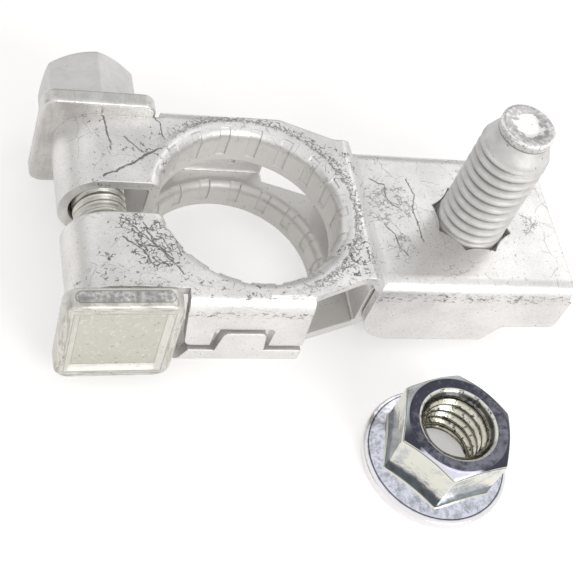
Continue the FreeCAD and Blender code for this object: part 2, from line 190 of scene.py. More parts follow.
def make_piece(name: str, shells: list[np.ndarray], smooth_degrees: float = 38.0) -> bpy.types.Object:
    """A mesh object from grids of points.

    Args:
        name: The piece's name.
        shells: Grids of points in mm, each closed round its columns, with poles where it ends.
        smooth_degrees: Edges sharper than this stay sharp.

    Returns:
        The new object, at the origin.
    """
    points, faces, first = [], [], 0
    for shell in shells:
        rows, columns = shell.shape[:2]
        points.append(shell.reshape(-1, 3) * MM)
        faces.append(grid_faces(rows, columns) + first)
        first += rows * columns
    mesh = bpy.data.meshes.new(name)
    mesh.from_pydata(np.concatenate(points).tolist(), [], np.concatenate(faces).tolist())
    work = bmesh.new()
    work.from_mesh(mesh)
    bmesh.ops.remove_doubles(work, verts=work.verts, dist=MERGE_REACH * MM)
    bmesh.ops.dissolve_degenerate(work, edges=work.edges, dist=LEAST_EDGE * MM)
    work.to_mesh(mesh)
    work.free()
    mesh.shade_smooth()
    mesh.set_sharp_from_angle(angle=math.radians(smooth_degrees))
    piece = bpy.data.objects.new(name, mesh)
    bpy.context.scene.collection.objects.link(piece)
    return piece


def finish_piece(piece: bpy.types.Object, material: bpy.types.Material, body: str,
                 stands_for: str) -> bpy.types.Object:
    """Gives a piece its finish and its body, and lets it stand for its CAD node."""
    piece.data.materials.append(material)
    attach(piece, body)
    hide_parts(stands_for)
    log.info("%s: %d faces on %s, for %s", piece.name, len(piece.data.polygons), body, stands_for)
    return piece


# ---------------------------------------------------------------- finishes


class Value:
    """What a node gives. Its sums, differences and products are nodes too."""

    def __init__(self, shading: "Shading", socket: bpy.types.NodeSocket) -> None:
        """Keeps the socket and the tree that it is in."""
        self.shading, self.socket = shading, socket

    def __add__(self, other: object) -> "Value":
        """This and another."""
        return self.shading.calc("ADD", self, other)

    def __radd__(self, other: object) -> "Value":
        """A number and this."""
        return self.shading.calc("ADD", other, self)

    def __sub__(self, other: object) -> "Value":
        """This less another."""
        return self.shading.calc("SUBTRACT", self, other)

    def __rsub__(self, other: object) -> "Value":
        """A number less this."""
        return self.shading.calc("SUBTRACT", other, self)

    def __mul__(self, other: object) -> "Value":
        """This times another."""
        return self.shading.calc("MULTIPLY", self, other)


class Shading:
    """The nodes of one material or world. Each method adds nodes and returns what they give."""

    def __init__(self, name: str, world: bool = False) -> None:
        """Starts an empty material or world of this name."""
        self.owner = (bpy.data.worlds if world else bpy.data.materials).new(name)
        self.owner.use_nodes = True
        self.tree = self.owner.node_tree
        self.tree.nodes.clear()

    def node(self, kind: str, inputs: dict | None = None, **settings: object) -> bpy.types.Node:
        """A node of this kind with its settings, and its inputs linked or set."""
        made = self.tree.nodes.new("ShaderNode" + kind)
        for key, value in settings.items():
            setattr(made, key, value)
        for key, value in (inputs or {}).items():
            if isinstance(value, Value):
                self.tree.links.new(value.socket, made.inputs[key])
            else:
                made.inputs[key].default_value = value
        return made

    def out(self, kind: str, inputs: dict | None = None, give: int | str = 0, **settings: object) -> Value:
        """What such a node gives at one of its outputs."""
        return Value(self, self.node(kind, inputs, **settings).outputs[give])

    def calc(self, operation: str, a: object, b: object = 0.0, clamp: bool = False) -> Value:
        """A sum, product, power or other two-value operation."""
        return self.out("Math", {0: a, 1: b}, operation=operation, use_clamp=clamp)

    def vector(self, operation: str, a: object, b: object, give: int | str = 0) -> Value:
        """A sum, product or other operation on two vectors."""
        return self.out("VectorMath", {0: a, 1: b}, give, operation=operation)

    def scaled(self, vector: object, factor: object) -> Value:
        """A vector times a number."""
        return self.out("VectorMath", {0: vector, "Scale": factor}, operation="SCALE")

    def parts(self, vector: object) -> tuple[Value, ...]:
        """The three parts of a vector."""
        return tuple(Value(self, socket) for socket in self.node("SeparateXYZ", {0: vector}).outputs)

    def joined(self, x: object, y: object, z: object = 0.0) -> Value:
        """A vector from its parts."""
        return self.out("CombineXYZ", {0: x, 1: y, 2: z})

    def hypot(self, x: Value, y: Value) -> Value:
        """The root of x^2 + y^2."""
        return self.calc("SQRT", x * x + y * y)

    def place(self) -> Value:
        """The point on the piece in mm."""
        return self.scaled(self.out("TexCoord", give="Object"), 1 / MM)

    def noise(self, where: object, scale: float, detail: float = 3.0, rough: float = 0.55) -> Value:
        """Cloudy noise from 0 to 1, scale per mm."""
        return self.out("TexNoise", {"Vector": where, "Scale": scale, "Detail": detail, "Roughness": rough})

    def warped(self, where: object, scale: float, reach: float) -> Value:
        """The place moved by coloured noise, up to about reach mm each way."""
        colour = self.out("TexNoise", {"Vector": where, "Scale": scale, "Detail": 3.0}, "Color")
        centred = self.vector("SUBTRACT", colour, (0.5, 0.5, 0.5))
        return self.vector("ADD", where, self.scaled(centred, 2 * reach))

    def ramp(self, value: object, low: float, high: float) -> Value:
        """A smooth step from 0 at low to 1 at high, or from 1 to 0 where low is above high."""
        start, stop, to_low, to_high = (low, high, 0.0, 1.0) if low < high else (high, low, 1.0, 0.0)
        inputs = {"Value": value, "From Min": start, "From Max": stop, "To Min": to_low, "To Max": to_high}
        return self.out("MapRange", inputs, interpolation_type="SMOOTHSTEP")

    def spot(self, where: object, centre: Point, radius: float) -> Value:
        """1 near a place and 0 beyond its radius."""
        return self.ramp(self.vector("DISTANCE", where, centre, "Value"), radius, 0.5 * radius)

    def stroke(self, where: object, start: Point, end: Point, width: float) -> Value:
        """1 along the straight run between two places, and 0 beyond its width."""
        run = np.array(end) - np.array(start)
        offset = self.vector("SUBTRACT", where, start)
        share = self.vector("DOT_PRODUCT", offset, tuple(run / (run @ run)), "Value")
        share = self.calc("MINIMUM", self.calc("MAXIMUM", share, 0.0), 1.0)
        nearest = self.scaled(tuple(run), share)
        return self.ramp(self.vector("DISTANCE", offset, nearest, "Value"), width, 0.3 * width)

    def path(self, where: object, points: list[Point], width: float) -> Value:
        """1 along the runs that join several places."""
        return self.most([self.stroke(where, a, b, width) for a, b in zip(points, points[1:])])

    def band(self, value: object, low: float, high: float, soft: float) -> Value:
        """1 where a value lies between low and high, with soft ends."""
        return self.ramp(value, low - soft, low) * self.ramp(value, high + soft, high)

    def most(self, values: list[Value]) -> Value:
        """The largest of several values."""
        top = values[0]
        for value in values[1:]:
            top = self.calc("MAXIMUM", top, value)
        return top

    def blend(self, share: object, a: object, b: object) -> Value:
        """Colour a at share 0 and colour b at share 1."""
        return self.out("Mix", {0: share, 6: a, 7: b}, 2, data_type="RGBA")

    def rounded(self, radius: float) -> Value:
        """The surface's direction, softened over its edges."""
        return self.out("Bevel", {"Radius": radius * MM}, samples=6)

    def edge(self, softened: Value) -> Value:
        """1 along sharp edges, where the softened direction leaves the plain one, and 0 on flats."""
        plain = self.out("NewGeometry", give="Normal")
        return self.ramp(self.vector("DOT_PRODUCT", plain, softened, "Value"), 0.995, 0.90)

    def bump(self, height: Value, strength: float, reach: float, normal: Value) -> Value:
        """A direction tilted by a height, reach mm deep."""
        inputs = {"Height": height, "Strength": strength, "Distance": reach * MM, "Normal": normal}
        return self.out("Bump", inputs)

    def seen(self) -> Value:
        """1 for rays from the camera, a mirror or glass, and 0 for the light that things give each other."""
        path = self.node("LightPath")
        rays = "Is Camera Ray", "Is Glossy Ray", "Is Transmission Ray"
        return self.most([Value(self, path.outputs[ray]) for ray in rays])

    def done(self, inputs: dict) -> bpy.types.Material:
        """Ends the material with a principled surface."""
        self.node("OutputMaterial", {"Surface": self.out("BsdfPrincipled", inputs)})
        return self.owner


# The long cracks on the ears and on the block: width, height of the sheet, and the places that they pass.
LONG_CRACKS = [
    (0.22, UPPER_Z, [(-16.4, 2.7), (-14.1, 4.0), (-12.0, 5.5), (-9.8, 7.3)]),
    (0.18, UPPER_Z, [(-13.6, 8.7), (-12.6, 7.5), (-11.6, 6.3)]),
    (0.15, UPPER_Z, [(-10.3, 12.2), (-9.4, 10.4), (-9.0, 8.6)]),
    (0.15, UPPER_Z, [(-15.8, 11.6), (-15.7, 9.2), (-15.2, 6.7)]),
    (0.16, UPPER_Z, [(-14.6, -2.9), (-13.4, -4.9), (-11.6, -6.2), (-10.0, -8.0)]),
    (0.15, UPPER_Z, [(-13.4, -6.2), (-11.4, -6.4), (-9.2, -9.9)]),
    (0.14, UPPER_Z, [(-12.9, -3.4), (-12.2, -5.6), (-10.9, -5.2), (-10.2, -6.9)]),
    (0.14, UPPER_Z, [(-15.0, -5.2), (-13.0, -6.9), (-12.4, -9.2)]),
    (0.11, BLOCK_Z, [(20.1, 5.6), (20.6, 3.4), (19.9, 1.0), (20.3, -3.6)]),
    (0.12, BLOCK_Z, [(15.7, 5.5), (17.0, 4.6), (17.3, 2.2), (18.4, 0.8)]),
    (0.12, BLOCK_Z, [(15.9, -1.1), (17.1, -2.6), (17.0, -4.0), (17.9, -5.6)]),
]


@dataclass(frozen=True)
class TinSheet:
    """Matt tin on pressed sheet: fine dark cracks, worn places, scuffed bends, a painted highlight on worn
    edges and a painted light band on the neck's step.
    """

    light: Colour = (0.86, 0.843, 0.828, 1.0)
    dull: Colour = (0.70, 0.685, 0.675, 1.0)
    clean: Colour = (0.80, 0.78, 0.75, 1.0)
    mark: Colour = (0.085, 0.08, 0.076, 1.0)
    # light colour along sharp edges: worn bare tin and a painted highlight
    bare_edge_highlight: Colour = (0.93, 0.92, 0.905, 1.0)
    edge_radius: float = 0.2

    def build(self) -> bpy.types.Material:
        """The material."""
        s = Shading("tin_sheet_worn")
        p = s.place()
        x, y, z = s.parts(p)
        softened = s.rounded(self.edge_radius)
        rim = s.edge(softened)
        grain = s.noise(p, 4.5, 4.0, 0.65)
        clouds = s.noise(p, 0.16, 4.0) + grain * 0.8
        within = self.inside(s, x, y, z)
        worked = self.worked(s, p, x)
        clouds = clouds - worked * 0.12
        base = s.blend(s.ramp(clouds, 0.62, 1.12), self.dull, self.light)
        base = s.blend(within * 0.8, base, self.clean)
        dark = self.marks(s, p, x, y, z, worked)
        # painted light: a lighter band across the neck's step, also rougher and less metallic there
        fold = s.band(x, 13.1, 14.5, 0.35) * s.ramp(z, 11.6, 11.9)
        # painted highlight and worn bare tin: the sharp edges are lightened
        colour = s.blend(rim * 0.6, base, self.bare_edge_highlight)
        colour = s.blend(fold * 0.5, colour, (0.82, 0.805, 0.79, 1.0))
        colour = s.blend(s.calc("MULTIPLY", dark, 0.85, clamp=True), colour, self.mark)
        waves = s.noise(p, 0.35, 2.0)
        rough = grain * 0.16 + 0.26
        rough = s.calc("ADD", rough, dark * 0.25, clamp=True)
        surface = s.bump(waves, 0.30, 0.22, softened)
        surface = s.bump(grain, 0.35, 0.03, surface)
        surface = s.bump(1.0 - dark, 0.5, 0.03, surface)
        rough = s.calc("ADD", rough, fold * 0.3, clamp=True)
        metal = 0.75 - s.most([within, fold]) * 0.45
        return s.done({"Base Color": colour, "Metallic": metal, "Roughness": rough, "Normal": surface})

    def inside(self, s: Shading, x: object, y: object, z: object) -> Value:
        """1 on the clean faces between the walls, below the upper sheet."""
        within = s.ramp(s.calc("ABSOLUTE", y), 12.45, 12.3)
        within = within * s.ramp(x, 13.4, 12.8)
        within = within * s.ramp(x, -19.8, -19.4)
        return within * s.ramp(z, 12.9, 12.2)

    def marks(self, s: Shading, p: object, x: object, y: object, z: object, worked: object) -> Value:
        """All dark marks, from 0 to 1."""
        top = s.ramp(z, 11.6, 12.1)
        bent = s.warped(s.warped(p, 0.35, 0.7), 1.6, 0.22)
        broken = s.ramp(s.noise(p, 1.3, 3.0), 0.36, 0.50)
        across, along, _ = s.parts(bent)
        flat = s.joined(across, along, z)
        wide = self.cell_lines(s, bent, 0.24, 0.013, s.noise(p, 0.30, 2.0), 0.45)
        middle = self.cell_lines(s, bent, 0.62, 0.027, s.noise(p, 0.7, 2.0) + worked * 0.20, 0.66)
        short = self.cell_lines(s, s.warped(p, 1.9, 0.45), 1.4, 0.12,
                                s.noise(p, 1.1, 2.0) + worked * 0.30, 0.72)
        short = short * (1.0 - s.ramp(x, 12.0, 14.0) * 0.4)
        fine = self.cell_lines(s, s.warped(p, 2.6, 0.35), 2.6, 0.12, s.noise(p, 1.7, 3.0), 0.62)
        lines = s.most([wide * 0.4, middle * 0.7, short,
                        fine * 0.45])
        drawn = self.long_cracks(s, flat) * (broken * 0.35 + 0.6)
        pits = s.ramp(s.noise(p, 3.2, 2.0), 0.68, 0.74)
        on_top = s.most([lines, drawn, self.rim_dirt(s, p, x, y)]) * top
        return s.most([on_top, self.scuffs(s, p, x, y, z), pits * 0.7])

    def worked(self, s: Shading, p: object, x: object) -> Value:
        """1 where the sheet has been worked or rubbed most: by the hole, the fold, the neck and the slot."""
        return s.most([
            s.spot(p, (-11.6, -6.2, UPPER_Z), 4.6), s.spot(p, (-14.0, -3.6, UPPER_Z), 2.4),
            s.spot(p, (-11.0, 7.0, UPPER_Z), 4.5) * 0.55,
            s.spot(p, (11.0, -7.0, UPPER_Z), 4.0) * 0.75,
            s.spot(p, (11.6, 6.5, UPPER_Z), 4.2) * 0.6,
            s.spot(p, (17.0, 1.6, BLOCK_Z), 4.6) * 0.9,
            s.spot(p, (17.5, -4.5, BLOCK_Z), 2.6) * 0.7,
            s.spot(p, (34.0, 0.0, BLOCK_Z), 3.0) * 0.6,
            s.band(x, -17.6, -15.8, 0.6) * 0.45])

    def cell_lines(self, s: Shading, where: object, scale: float, width: float, kept: object,
                   need: float) -> Value:
        """The borders of random cells, kept where a cloud is high enough."""
        edges = s.out("TexVoronoi", {"Vector": where, "Scale": scale}, feature="DISTANCE_TO_EDGE")
        lines = s.ramp(edges, width, 0.2 * width)
        return lines * s.ramp(kept, need, need + 0.06)

    def long_cracks(self, s: Shading, where: object) -> Value:
        """The long cracks that stand out on the ears and on the block."""
        return s.most([s.path(where, [(x, y, level) for x, y in points], width)
                       for width, level, points in LONG_CRACKS])

    def rim_dirt(self, s: Shading, p: object, x: object, y: object) -> Value:
        """A broken dark line round the roll of the post hole, strongest at its back and right."""
        away = s.out("VectorMath", {0: s.joined(x, y)}, "Value", operation="LENGTH")
        away = away + (s.noise(p, 1.1, 3.0) - 0.5) * 1.3
        line = s.band(away, 12.0, 12.2, 0.22) * s.ramp(s.noise(p, 5.0, 4.0), 0.44, 0.54)
        hatch = self.cell_lines(s, s.warped(p, 2.2, 0.4), 1.8, 0.2, s.noise(p, 2.4, 3.0), 0.44)
        hatch = hatch * s.band(away, 12.0, 12.9, 0.3)
        line = s.most([line * 0.8, hatch * 0.8])
        side = x * 0.05 + y * 0.03
        return line * s.ramp(side, -0.35, 0.05)

    def scuffs(self, s: Shading, p: object, x: object, y: object, z: object) -> Value:
        """Rubbed dark flecks along the foot of the front bends and on both folds."""
        streaks = s.noise(s.vector("MULTIPLY", s.warped(p, 1.0, 0.5), (1.1, 1.6, 2.2)), 1.2, 6.0, 0.72)
        front = s.ramp(y, -9.7, -10.0)
        block = s.ramp(x, 13.6, 14.4) * s.band(z, 9.8, 10.7, 0.6)
        side = s.ramp(x, 6.0, 5.6) * s.band(z, 11.1, 11.6, 0.45)
        bends = front * s.most([block, side])
        bends = bends * s.ramp(streaks, 0.52, 0.60)
        fold = s.band(x, -20.3, -16.2, 0.8) * s.ramp(s.noise(p, 1.5, 5.0, 0.7), 0.64, 0.70)
        upper = s.ramp(y, -8.2, -8.8) * s.band(z, 13.2, 13.6, 0.3)
        lower = s.ramp(x, 14.0, 14.6) * s.band(y, -12.6, -11.6, 0.4) * s.ramp(z, 11.9, 12.1)
        tops = s.most([upper, lower]) * s.ramp(streaks, 0.56, 0.62)
        return s.most([bends * 0.9, fold * 0.35, tops * 0.8])


@dataclass(frozen=True)
class PlatedSteel:
    """Zinc plate that has gone dull, with dark scuffs, pale flecks and streaks along one way, and a painted
    colour along its sharp edges: a highlight when light, shade when dark.
    """

    name: str
    light: Colour
    dull: Colour
    roughness: float = 0.36
    scuffs: float = 0.5
    streak: Point = (1.0, 1.0, 1.0)
    flecks: float = 0.5
    edge_radius: float = 0.12
    metal: float = 0.75
    # painted highlight along sharp edges when light, painted shade when dark
    painted_edge_shading: Colour = (0.93, 0.92, 0.89, 1.0)

    def build(self) -> bpy.types.Material:
        """The material."""
        s = Shading(self.name)
        p = s.place()
        softened = s.rounded(self.edge_radius)
        rim = s.edge(softened)
        clouds = s.noise(p, 0.45, 5.0, 0.62)
        lines = s.noise(s.vector("MULTIPLY", p, self.streak), 1.6, 4.0, 0.6)
        base = s.blend(s.ramp(clouds + lines * 0.5, 0.58, 0.92), self.dull, self.light)
        flecks = s.ramp(s.noise(s.warped(p, 1.5, 0.3), 2.6, 3.0), 0.60, 0.68)
        base = s.blend(flecks * self.flecks, base, (0.90, 0.88, 0.84, 1.0))
        spots = s.most([s.ramp(s.noise(p, 1.1, 6.0, 0.7), 0.60, 0.68), s.ramp(lines, 0.66, 0.72)])
        base = self.marked(s, p, base)
        # painted light: the sharp edges take the edge colour, as a highlight or as a shade line
        colour = s.blend(rim * 0.75, base, self.painted_edge_shading)
        colour = s.blend(spots * self.scuffs, colour, (0.16, 0.15, 0.13, 1.0))
        grain = s.noise(p, 4.0, 4.0, 0.6)
        rough = grain * 0.2 + (self.roughness - 0.1)
        surface = s.bump(clouds, 0.3, 0.12, softened)
        surface = s.bump(grain + lines, 0.3, 0.03, surface)
        return s.done({"Base Color": colour, "Metallic": self.metal, "Roughness": rough, "Normal": surface})

    def marked(self, s: Shading, p: object, base: object) -> object:
        """The base colour with the marks of one piece only; plain plate has none."""
        return base


@dataclass(frozen=True)
class BoltHeadPlate(PlatedSteel):
    """Dull zinc with the square head's greenish panel and brushed rim, painted highlights on its panel's
    slopes, painted shade lines along its edges and a painted dark reflection on its upper side.
    """

    middle: Point = (-15.65, -14.1, BOLT_Z)
    turned: float = BOLT_HEAD_TURNED
    panel: Colour = (0.60, 0.59, 0.515, 1.0)
    # pale flecks in the panel, and the painted highlight on its slopes
    slope: Colour = (0.83, 0.815, 0.76, 1.0)
    brushed: Colour = (0.40, 0.385, 0.34, 1.0)
    # painted dark reflection, mottled, on the head's upper side
    top_dark_reflection: Colour = (0.27, 0.26, 0.28, 1.0)
    # colour of the painted shade lines along the head's edges
    outline: Colour = (0.20, 0.19, 0.185, 1.0)

    def marked(self, s: Shading, p: object, base: object) -> object:
        """Colours the head by where it is, in axes that turn with it."""
        x, y, z = s.parts(s.vector("SUBTRACT", p, self.middle))
        cos, sin = math.cos(math.radians(self.turned)), math.sin(math.radians(self.turned))
        across = x * cos - z * sin
        upward = x * sin + z * cos
        side, tall = s.calc("ABSOLUTE", across), s.calc("ABSOLUTE", upward)
        front = s.ramp(y, 0.2, 0.0)
        beyond = s.calc("MAXIMUM", side - 4.5, tall - 4.7)
        grit = s.noise(p, 2.4, 4.0, 0.65)
        rub = s.joined(beyond, (across + upward) * 0.12)
        rub = s.ramp(s.noise(rub, 2.6, 5.0, 0.7), 0.47, 0.60)
        rim = s.ramp(beyond, 0.75, 0.85) * front
        base = s.blend(rim * rub * 0.75, base, self.brushed)
        sunk = s.ramp(beyond, 0.05, -0.05) * front
        base = s.blend(sunk * 0.75, base, self.panel)
        flecks = s.ramp(beyond, 0.0, -0.2) * (front * s.ramp(grit, 0.58, 0.64))
        base = s.blend(flecks * 0.6, base, self.slope)
        # painted highlight: the slopes round the sunk panel are lighter, less where the rim is rubbed
        lit = s.band(beyond, 0.06, 0.68, 0.05) * front
        base = s.blend(lit * (0.7 - rub * 0.5), base, self.slope)
        # painted shade: dark lines where the panel meets its slopes and the slopes meet the rim
        lines = s.most([s.band(beyond, 0.70, 0.76, 0.06), s.band(beyond, -0.03, 0.03, 0.05) * 0.7])
        base = s.blend(lines * front * 0.42, base, self.outline)
        past = s.calc("MAXIMUM", side - 4.4, 0.0)
        off = y - 0.1
        reach = 0.72 - s.hypot(past, off)
        top = s.ramp(upward, 6.45, 6.6)
        # painted reflection: the head's upper side is mottled dark
        mottle = s.ramp(s.noise(p, 1.8, 5.0, 0.7), 0.66, 0.36) * s.ramp(reach, 0.0, 0.08)
        base = s.blend(mottle * top * 0.85, base, self.top_dark_reflection)
        # painted shade: a dark line round the edge of the upper side
        border = s.band(reach, -0.03, 0.05, 0.05) * top
        return s.blend(border * 0.7, base, self.outline)


@dataclass(frozen=True)
class MattStud:
    """Matt tin on the stud, with painted shade in the thread's grooves and under the nose's lip, worn grey and
    bright on the nose.
    """

    light: Colour = (0.80, 0.785, 0.77, 1.0)
    dull: Colour = (0.69, 0.675, 0.66, 1.0)
    # colour of the painted shade in the grooves and under the nose, and of the dark specks and chips
    groove: Colour = (0.20, 0.19, 0.18, 1.0)
    worn: Colour = (0.42, 0.405, 0.41, 1.0)
    bright: Colour = (0.95, 0.945, 0.93, 1.0)
    middle: Point = (STUD_X, 0.0, 0.0)
    root: float = 3.42
    thread_ends: tuple[float, float] = (12.3, 25.4)
    nose_z: float = NOSE_Z
    nose_radius: float = NOSE_RADIUS

    def build(self) -> bpy.types.Material:
        """The material."""
        s = Shading("tin_stud_matt")
        p = s.place()
        x, y, z = s.parts(s.vector("SUBTRACT", p, self.middle))
        away = s.hypot(x, y)
        clouds = s.noise(p, 0.5, 5.0, 0.6)
        grain = s.noise(p, 4.0, 4.0, 0.6)
        base = s.blend(s.ramp(clouds, 0.36, 0.64), self.dull, self.light)
        thread = s.band(z, self.thread_ends[0], self.thread_ends[1], 0.2)
        # painted shade: the thread's grooves darken towards their roots
        deep = s.ramp(away, self.root + 0.32, self.root + 0.06) * thread
        base = s.blend(deep * 0.8, base, self.groove)
        specks = s.ramp(s.noise(p, 2.0, 4.0), 0.66, 0.69) * s.ramp(z, 20.0, 24.0)
        on_top = s.ramp(z, self.nose_z - 0.42, self.nose_z - 0.32)
        reach = away + (s.noise(p, 0.9, 4.0) - 0.5) * 2.4
        ring = (s.ramp(reach, 1.45, 1.8) * on_top
                * s.ramp(away, self.nose_radius - 0.12, self.nose_radius - 0.28))
        base = s.blend((on_top - ring) * 0.9, base, self.bright)
        base = s.blend(ring * s.ramp(s.noise(p, 1.8, 4.0), 0.30, 0.60), base, self.worn)
        # painted shade: a dark ring under the lip of the nose
        under = s.band(z, self.nose_z - 1.25, self.nose_z - 1.05, 0.1) * s.ramp(away, 2.5, 2.7)
        chipped = (s.ramp(away, 2.9, 3.0) * s.ramp(grain, 0.52, 0.60)
                   * s.ramp(z, self.nose_z - 1.2, self.nose_z - 1.0))
        dark = s.most([specks * 0.7, under * 0.8, chipped * 0.5])
        colour = s.blend(dark, base, self.groove)
        softened = s.rounded(0.08)
        surface = s.bump(clouds, 0.4, 0.15, softened)
        surface = s.bump(grain, 0.35, 0.04, surface)
        rough = 0.52 - on_top * 0.22
        metal = 0.35 + on_top * 0.4
        return s.done({"Base Color": colour, "Metallic": metal, "Roughness": rough, "Normal": surface})


@dataclass(frozen=True)
class BrightZinc:
    """Bright bluish zinc plate on a forged nut, with painted reflections and shade: a dark top ring, a chamfer
    light in front and dark at its sides, flats with dark feet and dark lines, a mottled flange, and an oily
    bore dark at its roots.
    """

    cream: Colour = (0.74, 0.74, 0.665, 1.0)
    # grey of random smears on the flats, and of the painted reflection on the chamfer's back
    smear_and_reflection: Colour = (0.52, 0.55, 0.56, 1.0)
    lilac: Colour = (0.72, 0.72, 0.83, 1.0)
    # painted dark reflection on the top ring and at the chamfer's sides
    crown_dark_reflection: Colour = (0.055, 0.056, 0.078, 1.0)
    # painted reflection at the feet of the flats and in the flange's mottling
    slate_reflection: Colour = (0.25, 0.29, 0.285, 1.0)
    # painted shade and reflection: dark lines on the flats and flange, the thread's roots and the black
    # mottling in the bore
    black_shade_and_reflection: Colour = (0.02, 0.022, 0.028, 1.0)
    oil: Colour = (0.62, 0.59, 0.48, 1.0)
    middle: Point = (20.8, -25.25, 0.0)
    height: float = 8.3
    crown_radius: float = 5.7
    crown_slope: float = 30.0
    flange_radius: float = 8.6
    flange_rim: float = 1.1
    flange_slope: float = 20.0
    bore: float = 3.4
    thread_root: float = 4.05
    countersink: float = 4.5

    def toward(self, s: Shading, flat: object, degrees: float) -> Value:
        """How far a level direction points toward an angle round the nut, from -1 to 1."""
        way = (math.cos(math.radians(degrees)), math.sin(math.radians(degrees)), 0.0)
        unit = s.out("VectorMath", {0: flat}, operation="NORMALIZE")
        return s.vector("DOT_PRODUCT", unit, way, "Value")

    def build(self) -> bpy.types.Material:
        """The material."""
        s = Shading("bright_zinc_plate")
        p = s.place()
        x, y, z = s.parts(s.vector("SUBTRACT", p, self.middle))
        away = s.hypot(x, y)
        plan = s.joined(x, y)
        nx, ny, up = s.parts(s.out("NewGeometry", give="Normal"))
        side = s.joined(nx, ny)
        clouds = s.noise(s.warped(p, 0.4, 1.0), 0.6, 5.0, 0.6)
        mottle = s.noise(s.warped(p, 0.8, 0.6), 1.3, 6.0, 0.7)
        base = s.blend(s.ramp(clouds, 0.50, 0.70), self.cream, self.smear_and_reflection)
        base, foot = self.flats(s, base, z, away, side, up, clouds)
        base = self.flange(s, base, away, up, z, mottle, foot)
        base = self.crown(s, base, plan, away, up, z, mottle)
        base = self.inner(s, base, away, clouds, mottle)
        softened = s.rounded(0.1)
        rough = clouds * 0.22 + 0.08
        top_ring = s.ramp(z, self.height - 0.2, self.height - 0.1) * s.ramp(away, 4.4, 4.6)
        rough = rough + top_ring * 0.3
        surface = s.bump(s.noise(p, 0.5, 3.0), 0.45, 0.25, softened)
        surface = s.bump(mottle, 0.2, 0.03, surface)
        return s.done({"Base Color": base, "Metallic": 0.95, "Roughness": rough, "Normal": surface})

    def flats(self, s: Shading, base: object, z: object, away: object, side: object, up: object,
              clouds: object) -> tuple[object, object]:
        """The hexagon's flats: a painted dark reflection at the foot, darkest on the faces that look left, and
        painted shade lines at the foot and the top.

        Args:
            s: The material's nodes.
            base: The colour so far.
            z: Height above the nut's foot.
            away: Distance from its axis.
            side: The level part of the surface's direction.
            up: How far the surface faces up.
            clouds: Slow noise.

        Returns:
            The colour, and the height above the flange.
        """
        slope = math.tan(math.radians(self.flange_slope))
        above = z - ((self.flange_radius - away) * slope + self.flange_rim)
        steep = s.ramp(up, 0.55, 0.35) * s.ramp(away, 5.6, 5.8)
        steep = steep * s.ramp(above, -0.15, 0.0)
        # painted reflection: a dark band at the foot of the flats, darkest on the faces that look left
        left = s.ramp(self.toward(s, side, 223.3), 0.70, 0.92)
        reach = above - (clouds - 0.5) * 2.0
        low = s.ramp(reach, 2.1, 1.3) * steep
        tone = s.blend(left, self.slate_reflection, (0.07, 0.09, 0.095, 1.0))
        base = s.blend(low * 0.9, base, tone)
        rise = math.tan(math.radians(self.crown_slope))
        below = self.height - (away - self.crown_radius) * rise
        below = below - z
        # painted shade: fine dark lines at the top and the foot of the flats
        line = s.band(below, 0.03, 0.11, 0.05) * steep
        line = s.most([line, s.band(above, 0.02, 0.14, 0.06) * steep])
        return s.blend(line * 0.9, base, self.black_shade_and_reflection), above

    def flange(self, s: Shading, base: object, away: object, up: object, z: object, mottle: object,
               above: object) -> object:
        """The flange: lilac mottled with a painted slate reflection, a painted shade line inside its white rim,
        and a pale outer wall.
        """
        top = s.ramp(up, 0.80, 0.88) * s.ramp(above, 0.35, 0.25)
        base = s.blend(top, base, self.lilac)
        # painted reflection: slate mottling on the flange's top
        base = s.blend(top * s.ramp(mottle, 0.40, 0.66) * 0.75, base, self.slate_reflection)
        # painted shade: a dark line inside the flange's rim
        line = s.band(away, 7.98, 8.06, 0.06) * top
        base = s.blend(line * 0.9, base, self.black_shade_and_reflection)
        wall = s.ramp(away, 8.1, 8.25) * s.ramp(z, 1.6, 1.4)
        return s.blend(wall * 0.9, base, (0.86, 0.84, 0.86, 1.0))

    def crown(self, s: Shading, base: object, plan: object, away: object, up: object, z: object,
              mottle: object) -> object:
        """The top ring in a painted dark reflection, lighter to one side, and the chamfer in painted
        reflection: lilac in front, grey at the back and dark at its sides.
        """
        high = s.ramp(z, 5.6, 6.0)
        chamfer = s.band(up, 0.74, 0.93, 0.06) * (high * s.ramp(away, 5.5, 5.7))
        front = self.toward(s, plan, 247.0)
        back = s.ramp(self.toward(s, plan, 120.0), 0.3, 0.8)
        # painted reflection: the chamfer is lilac where it faces front, dark at its sides and grey at its back
        shade = s.blend(s.ramp(front + mottle * 0.2, 0.84, 1.0), self.crown_dark_reflection, self.lilac)
        shade = s.blend(back, shade, self.smear_and_reflection)
        base = s.blend(chamfer, base, shade)
        # painted reflection: the flat top ring is dark, lighter towards one side
        ring = s.ramp(up, 0.90, 0.97) * s.ramp(z, self.height - 0.25, self.height - 0.1)
        ring = ring * s.ramp(away, self.countersink - 0.02, self.countersink + 0.12)
        lighter = mottle + self.toward(s, plan, 300.0) * 0.12
        return s.blend(ring, base, s.blend(s.ramp(lighter, 0.40, 0.68), self.crown_dark_reflection, (0.19, 0.19, 0.225, 1.0)))

    def inner(self, s: Shading, base: object, away: object, clouds: object, mottle: object) -> object:
        """The oily bore, with painted shade at the thread's roots and a painted black mottled reflection above
        it.
        """
        bore = s.ramp(away, self.thread_root + 0.35, self.thread_root + 0.1)
        base = s.blend(bore * s.ramp(clouds, 0.30, 0.55), base, self.oil)
        # painted shade: the thread's roots are darkened
        root = s.ramp(away, self.bore + 0.3, self.thread_root - 0.05) * bore
        base = s.blend(root * 0.92, base, self.black_shade_and_reflection)
        # painted reflection: black mottling inside the countersink and bore
        mottled_reflection = s.ramp(mottle, 0.53, 0.58) * s.ramp(away, self.countersink + 0.02, self.countersink)
        return s.blend(mottled_reflection * 0.85, base, self.black_shade_and_reflection)


